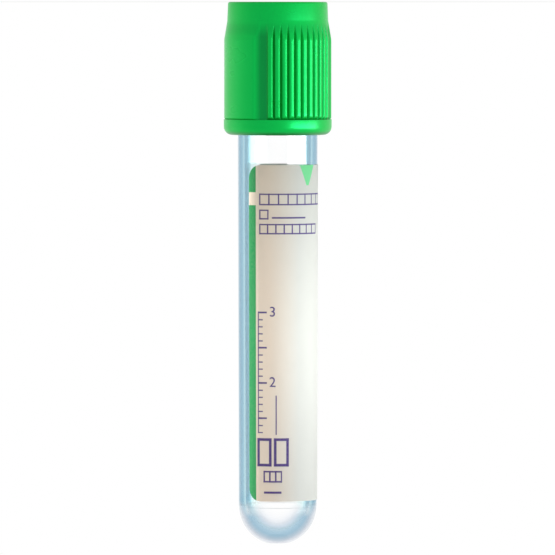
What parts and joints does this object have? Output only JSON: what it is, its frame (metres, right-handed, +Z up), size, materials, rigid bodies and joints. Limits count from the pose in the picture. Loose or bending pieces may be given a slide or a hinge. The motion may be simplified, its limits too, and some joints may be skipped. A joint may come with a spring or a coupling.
{
  "type": "blood collection tube",
  "caption": "Clear round-ended evacuated plastic tube with a wrapped paper label and a push-in closure: rubber stopper held in a ribbed green plastic cap with an open well on top.",
  "frame": {"origin": "under the middle of the closure, on the surface it stands on", "axes": "+Z up along the tube's axis, from the closure that it stands on to the round end; -Y out through the front of the label; +X to the right when the front is seen as it stands"},
  "size_m": [0.0176, 0.0176, 0.088],
  "materials": {
    "clear_plastic": "gloss",
    "printed_paper": "satin",
    "green_plastic": "satin",
    "green_rubber": "matte"
  },
  "bodies": {
    "closure": {"shield": "green_plastic", "stopper": "green_rubber"},
    "tube": {"tube": "clear_plastic", "label": "printed_paper"}
  },
  "joints": [
    {"name": "closure_pull", "type": "slide", "parent": "closure", "child": "tube", "axis": [0, 0, 1], "range_m": [0, 0.03]}
  ]
}
